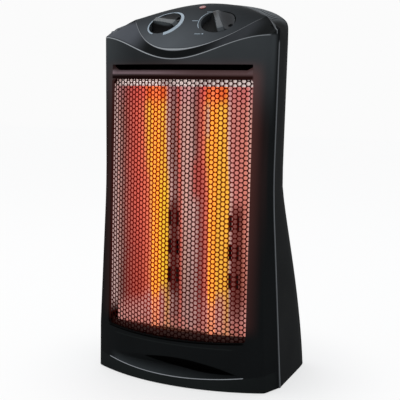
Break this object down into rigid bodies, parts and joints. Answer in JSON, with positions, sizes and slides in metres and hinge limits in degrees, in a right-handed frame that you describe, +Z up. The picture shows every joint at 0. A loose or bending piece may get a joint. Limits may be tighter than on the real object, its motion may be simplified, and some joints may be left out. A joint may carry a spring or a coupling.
{
  "type": "quartz heater",
  "caption": "Upright portable quartz heater with a bowed honeycomb front grille, radiant tubes before bright reflectors, a rear fan, and two rotary knobs on a sloping console.",
  "frame": {"origin": "middle of the footprint's bounding box, on the floor", "axes": "+Z up, front and grille towards -Y, +X to the right seen from the front"},
  "size_m": [0.3166, 0.2234, 0.5856],
  "materials": {
    "satin_black": "satin black moulded ABS with a fine spark texture",
    "grille_black": "pierced steel sheet in heat resistant black",
    "knob_black": "satin black moulded knob",
    "zinc": "zinc plated steel sheet",
    "rubber": "moulded black rubber",
    "polished": "bright rolled aluminium",
    "quartz": "clear fused quartz",
    "element": "nickel chrome resistance wire, glowing",
    "ceramic": "unglazed steatite",
    "dark_plastic": "black thermoset moulding",
    "plunger_white": "natural nylon",
    "lamp_red": "red pilot lens",
    "cutout_metal": "bimetal disc cut-out in a metal can"
  },
  "bodies": {
    "housing": {"front_shell": "satin_black", "rear_shell": "satin_black", "grille": "grille_black", "base_plate": "zinc", "chassis_plate": "zinc", "fan_motor": "zinc", "foot_front_left": "rubber", "foot_front_right": "rubber", "foot_rear_left": "rubber", "foot_rear_right": "rubber", "cord_gland": "rubber", "end_plate_upper": "polished", "end_plate_lower": "polished", "reflector_left": "polished", "reflector_right": "polished", "quartz_tube_left": "quartz", "quartz_tube_right": "quartz", "heating_coil_left": "element", "heating_coil_right": "element", "cap_upper_left": "ceramic", "cap_upper_right": "ceramic", "cap_lower_left": "ceramic", "cap_lower_right": "ceramic", "fan_frame": "dark_plastic", "thermostat_body": "dark_plastic", "selector_body": "dark_plastic", "lamp_holder": "dark_plastic", "tip_switch": "dark_plastic", "pilot_lens": "lamp_red", "thermal_cutout": "cutout_metal"},
    "thermostat": {"thermostat_knob": "knob_black", "thermostat_shaft": "zinc"},
    "selector": {"selector_knob": "knob_black", "selector_shaft": "zinc"},
    "fan": {"fan_impeller": "dark_plastic"},
    "tip_over": {"tip_plunger": "plunger_white"}
  },
  "joints": [
    {"name": "thermostat_turn", "type": "hinge", "parent": "housing", "child": "thermostat", "pos_m": [-0.046, -0.0403, 0.55356], "axis": [-0.0915, -0.651, 0.7535], "range_deg": [-35, 255]},
    {"name": "selector_turn", "type": "hinge", "parent": "housing", "child": "selector", "pos_m": [0.046, -0.0403, 0.55356], "axis": [0.0915, -0.651, 0.7535], "range_deg": [-45, 90]},
    {"name": "fan_spin", "type": "hinge", "parent": "housing", "child": "fan", "pos_m": [0, 0.0105, 0.2], "axis": [0, 1, 0], "continuous": true},
    {"name": "tip_over_press", "type": "slide", "parent": "housing", "child": "tip_over", "axis": [0, 0, -1], "range_m": [0, 0.006], "stiffness_N_per_m": 40, "springref_m": 0.006}
  ]
}
